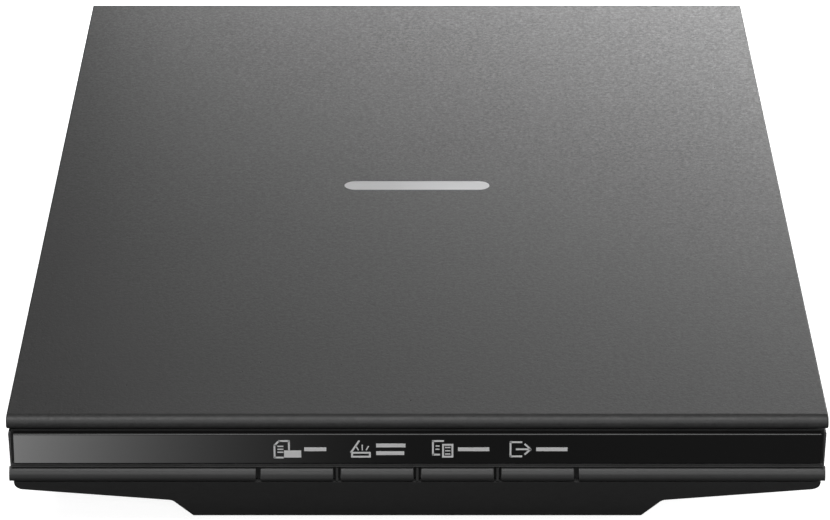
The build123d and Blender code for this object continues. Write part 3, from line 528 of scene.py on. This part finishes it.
KEYS = ("document_button", "scan_button", "copy_button", "send_button")
SATIN_GREY = grey(0.050)
SATIN_ROUGH = 0.38
SATIN_DEPTH = 0.000012
TRIM_SATIN = moulded_plastic("trim_satin", SATIN_GREY, SATIN_ROUGH, speckle=0.5, wear_and_highlight=0.2, depth=SATIN_DEPTH)
KEY_SATIN = moulded_plastic("key_satin", SATIN_GREY, SATIN_ROUGH, speckle=0.4, wear_and_highlight=0.45, depth=SATIN_DEPTH)
dress(TRIM_SATIN, "button_trim")
dress(KEY_SATIN, *KEYS)


# ---------------------------------------------------------------- platen glass
# Sheet of 2.8 mm float glass, faintly green through its edge, bonded under the frame's lip
# with black tape.

def make_glass():
    """Clear float glass with faint wipe marks."""
    material, tree, shader, place = start_material("platen_glass")
    shader.inputs["Base Color"].default_value = (0.93, 0.985, 0.965, 1)
    shader.inputs["Transmission Weight"].default_value = 1.0
    shader.inputs["IOR"].default_value = 1.5
    shader.inputs["Metallic"].default_value = 0.0
    wiped = noise(tree, place, 30.0, 5.0, 0.6)
    smear = math_node(tree, "MULTIPLY", math_node(tree, "SUBTRACT", wiped, MEAN_NOISE, clamp=True), 0.08)
    wire(tree, math_node(tree, "ADD", smear, 0.01), shader.inputs["Roughness"])
    return material


TAPE_BLACK = moulded_plastic("tape_black", grey(0.02), 0.7, speckle=0.2)
dress(make_glass(), "platen_glass")
dress(TAPE_BLACK, "glass_tape")


# ---------------------------------------------------------------- rod, rack, carriage and screws
# Ground steel rod in two black saddles, with the white acetal rack screwed to the floor beside
# it. The carriage rides on brass bushes. The screws, the motor and the socket are zinc plated.

GROUND_STEEL = brushed_metal("ground_steel", (0.62, 0.62, 0.63, 1), 0.22, along="Y")
ZINC_PLATE = brushed_metal("zinc_plate", (0.66, 0.67, 0.66, 1), 0.33, along="X", streak=0.15)
ACETAL = moulded_plastic("acetal_white", (0.72, 0.70, 0.63, 1), 0.35, speckle=0.08, grain=900.0, wear_and_highlight=0.1,
                         worn_and_highlight_color=(0.5, 0.48, 0.42, 1))
CARRIAGE_BLACK = moulded_plastic("carriage_black", grey(0.022), 0.48, speckle=0.35)
BRASS = brushed_metal("turned_brass", (0.70, 0.52, 0.24, 1), 0.3, along="Y", streak=0.15)
dress(GROUND_STEEL, "guide_rod", "hinge_pins", "gear_axles", "cis_springs", "motor_shaft")
dress(CARRIAGE_BLACK, "front_rod_holder", "rear_rod_holder", "carriage_frame", "cis_housing")
dress(ACETAL, "drive_rack", "drive_gear", "reduction_gear", "cis_glides", "cable_socket")
dress(BRASS, "rod_bushes", "motor_pinion")
dress(ZINC_PLATE, "rod_screws", "rack_screws", "board_screws", "button_board_screws", "case_screws",
      "lid_screws", "motor_screws", "scan_motor", "motor_flange", "usb_socket")


# ---------------------------------------------------------------- boards
# Glass-fibre boards under green solder mask, with the chip and the switches that are soldered
# to them.

TRACK_EDGE = 0.42


def make_board():
    """Green solder mask over the weave of the glass fibre, with paler copper areas under it."""
    material, tree, shader, place = start_material("board_green")
    weave = tree.nodes.new("ShaderNodeTexBrick")
    weave.inputs["Scale"].default_value = 700.0
    weave.inputs["Color1"].default_value = (0.012, 0.085, 0.035, 1)
    weave.inputs["Color2"].default_value = (0.016, 0.105, 0.045, 1)
    weave.inputs["Mortar"].default_value = (0.010, 0.070, 0.030, 1)
    wire(tree, place, weave.inputs["Vector"])
    tracks = tree.nodes.new("ShaderNodeTexVoronoi")
    tracks.distance = "CHEBYCHEV"
    tracks.inputs["Scale"].default_value = 260.0
    wire(tree, place, tracks.inputs["Vector"])
    step = math_node(tree, "GREATER_THAN", tracks.outputs["Distance"], TRACK_EDGE)
    copper = mix_color(tree, step, weave.outputs["Color"], (0.03, 0.16, 0.06, 1))
    wire(tree, copper, shader.inputs["Base Color"])
    shader.inputs["Roughness"].default_value = 0.3
    add_bump(tree, shader, step, 0.00002, 0.5)
    return material


BOARD_GREEN = make_board()
CHIP_BLACK = moulded_plastic("chip_black", grey(0.02), 0.55, speckle=0.3)
dress(BOARD_GREEN, "main_board", "button_board", "sensor_board")
dress(CHIP_BLACK, "main_board_chip", "tact_switches")


# ---------------------------------------------------------------- hinges
# Glass-filled nylon posts that lift in the base's wells for a thick book, and the brackets on
# the lid that turn on their steel pins.

HINGE_NYLON = moulded_plastic("hinge_nylon", grey(0.02), 0.45, speckle=0.4, wear_and_highlight=0.4)
dress(HINGE_NYLON, "left_hinge_post", "right_hinge_post", "left_hinge_guide", "right_hinge_guide",
      "left_lid_bracket", "right_lid_bracket")


# ---------------------------------------------------------------- image sensor
# The black sensor housing carries a rod-lens strip and a clear light guide behind its slots.
# Both are moulded in acrylic with fine ribs across their length.

def clear_acrylic(name, tint):
    """Ribbed acrylic strip, tinted by what stands behind it."""
    material, tree, shader, place = start_material(name)
    ribs = tree.nodes.new("ShaderNodeTexWave")
    ribs.bands_direction = "X"
    ribs.inputs["Scale"].default_value = 420.0
    wire(tree, place, ribs.inputs["Vector"])
    deep = tuple(c * 0.8 for c in tint[:3]) + (1.0,)
    wire(tree, mix_color(tree, ribs.outputs["Fac"], tint, deep), shader.inputs["Base Color"])
    shader.inputs["Roughness"].default_value = 0.12
    add_bump(tree, shader, ribs.outputs["Fac"], 0.00003, 0.4)
    return material


dress(clear_acrylic("lens_strip", (0.20, 0.22, 0.24, 1)), "rod_lens_array")
dress(clear_acrylic("light_guide", (0.72, 0.76, 0.78, 1)), "light_guide")


# ---------------------------------------------------------------- flat cable
# Pale ribbon of flat copper wires between polyester films. It drops from the main board to the
# floor, runs forward, and rolls back over itself in a loop to reach the carriage.

FILM_PALE = (0.62, 0.64, 0.66, 1)
WIRE_SHADE = (0.42, 0.43, 0.44, 1)
WIRE_SCALE = 320.0


def make_ribbon():
    """Polyester film with the wires showing through as darker lines."""
    material, tree, shader, place = start_material("ribbon_film")
    wires = tree.nodes.new("ShaderNodeTexWave")
    wires.bands_direction = "X"
    wires.inputs["Scale"].default_value = WIRE_SCALE
    wire(tree, place, wires.inputs["Vector"])
    wire(tree, mix_color(tree, wires.outputs["Fac"], FILM_PALE, WIRE_SHADE), shader.inputs["Base Color"])
    shader.inputs["Roughness"].default_value = 0.25
    add_bump(tree, shader, wires.outputs["Fac"], 0.00005, 0.5)
    return material


dress(make_ribbon(), "flat_cable")


# ---------------------------------------------------------------- feet
# Black rubber discs pressed into round seats under the platform.

RUBBER = moulded_plastic("foot_rubber", grey(0.018), 0.85, speckle=0.5, grain=1300.0, depth=0.00005, wear_and_highlight=0.3,
                         dust=0.2, specular=0.3)
dress(RUBBER, "rubber_feet")


# ---------------------------------------------------------------- floor, lights and camera
# Pale seamless floor, a long soft light low behind on the right, a softbox overhead and a weak
# fill in front. One card lies in front, where only the polished panel and the keys mirror it.

FLOOR_HALF = 6.0
FLOOR_GLOW = 0.9
FLOOR_GREY = grey(0.9)
FLOOR_BOUNCE = grey(0.10)


def make_floor():
    """Pale floor that looks nearly white, and sends little light back up at the scanner."""
    material, tree, shader, _ = start_material("floor_pale")
    shader.inputs["Base Color"].default_value = FLOOR_GREY
    shader.inputs["Roughness"].default_value = 0.9
    shader.inputs["Emission Color"].default_value = (1, 1, 1, 1)
    shader.inputs["Emission Strength"].default_value = FLOOR_GLOW
    dim = tree.nodes.new("ShaderNodeBsdfDiffuse")
    dim.inputs["Color"].default_value = FLOOR_BOUNCE
    seen = tree.nodes.new("ShaderNodeLightPath")
    mix = tree.nodes.new("ShaderNodeMixShader")
    wire(tree, seen.outputs["Is Camera Ray"], mix.inputs[0])
    wire(tree, dim.outputs[0], mix.inputs[1])
    wire(tree, shader.outputs[0], mix.inputs[2])
    wire(tree, mix.outputs[0], tree.nodes["Material Output"].inputs["Surface"])
    return material


bpy.ops.object.select_all(action="DESELECT")
bpy.ops.mesh.primitive_plane_add(size=2 * FLOOR_HALF, location=(0, 0, 0))
floor = bpy.context.object
floor.name = "floor"
floor.data.materials.append(make_floor())

PANEL_CARD_LOW = (-0.150, -0.300)
PANEL_CARD_HIGH = (0.030, -0.200)
PANEL_CARD_RISE = 0.001
PANEL_CARD_STRENGTH = 3.8
PANEL_CARD_FADE = 3.3


def make_card():
    """Card that fades out towards the middle of the scanner."""
    material = bpy.data.materials.new("panel_card")
    material.use_nodes = True
    tree = material.node_tree
    tree.nodes.clear()
    place = tree.nodes.new("ShaderNodeTexCoord").outputs["Object"]
    split = tree.nodes.new("ShaderNodeSeparateXYZ")
    wire(tree, place, split.inputs[0])
    wide = PANEL_CARD_HIGH[0] - PANEL_CARD_LOW[0]
    from_end = math_node(tree, "SUBTRACT", PANEL_CARD_HIGH[0], split.outputs["X"])
    along = math_node(tree, "MULTIPLY", from_end, 1 / wide)
    faded = math_node(tree, "POWER", along, PANEL_CARD_FADE)
    glow = math_node(tree, "MULTIPLY", faded, PANEL_CARD_STRENGTH)
    light = tree.nodes.new("ShaderNodeEmission")
    wire(tree, glow, light.inputs["Strength"])
    clear = tree.nodes.new("ShaderNodeBsdfTransparent")
    both = tree.nodes.new("ShaderNodeAddShader")
    wire(tree, light.outputs[0], both.inputs[0])
    wire(tree, clear.outputs[0], both.inputs[1])
    out = tree.nodes.new("ShaderNodeOutputMaterial")
    wire(tree, both.outputs[0], out.inputs["Surface"])
    return material


bpy.ops.object.select_all(action="DESELECT")
bpy.ops.mesh.primitive_plane_add(size=1, location=((PANEL_CARD_LOW[0] + PANEL_CARD_HIGH[0]) / 2,
                                                   (PANEL_CARD_LOW[1] + PANEL_CARD_HIGH[1]) / 2,
                                                   PANEL_CARD_RISE))
card = bpy.context.object
card.name = card.data.name = "panel_card"
card.scale = (PANEL_CARD_HIGH[0] - PANEL_CARD_LOW[0], PANEL_CARD_HIGH[1] - PANEL_CARD_LOW[1], 1)
bpy.ops.object.transform_apply(location=True, rotation=True, scale=True)
card.data.materials.append(make_card())
card.visible_camera = False
card.visible_diffuse = False
card.visible_shadow = False
card_lights = bpy.data.collections.new("panel_card_lights")
for piece_name in ("front_panel", *KEYS):
    card_lights.objects.link(nodes[piece_name])
card.light_linking.receiver_collection = card_lights

WORLD_GLOW = 0.09
world = bpy.data.worlds.new("studio")
bpy.context.scene.world = world
world.use_nodes = True
backdrop = world.node_tree.nodes["Background"]
backdrop.inputs["Color"].default_value = (1, 1, 1, 1)
backdrop.inputs["Strength"].default_value = WORLD_GLOW


def soft_light(name, place, aim, size, watts):
    """Rectangular lamp turned to face its aim."""
    light = bpy.data.lights.new(name, "AREA")
    light.shape = "RECTANGLE"
    light.size, light.size_y = size
    light.energy = watts
    lamp = bpy.data.objects.new(name, light)
    bpy.context.scene.collection.objects.link(lamp)
    lamp.location = place
    lamp.rotation_euler = (Vector(aim) - Vector(place)).to_track_quat("-Z", "Y").to_euler()


FRONT_OF_LID = (0, -0.1, 0.03)
soft_light("back_right_strip", place=(0.285, 0.28, 0.13), aim=(0.05, 0.05, 0.04), size=(1.32, 0.12),
           watts=2.33)
soft_light("overhead_softbox", place=(-0.1, -0.70, 1.27), aim=FRONT_OF_LID, size=(1.6, 0.8), watts=13.5)
soft_light("front_fill", place=(0.1, -1.7, 0.75), aim=FRONT_OF_LID, size=(1.4, 0.5), watts=5)

CAMERA_PITCH = math.radians(23.51)
CAMERA_PLACE = (-0.0007, -1.2933, 0.5769)
CAMERA_SENSOR = 36.0
CAMERA_LENS = 175.96
camera_data = bpy.data.cameras.new("camera")
camera_data.sensor_width = CAMERA_SENSOR
camera_data.lens = CAMERA_LENS
camera = bpy.data.objects.new("camera", camera_data)
bpy.context.scene.collection.objects.link(camera)
camera.location = CAMERA_PLACE
camera.rotation_euler = (math.pi / 2 - CAMERA_PITCH, 0, 0)
bpy.context.scene.camera = camera
bpy.context.scene.view_settings.view_transform = "Standard"
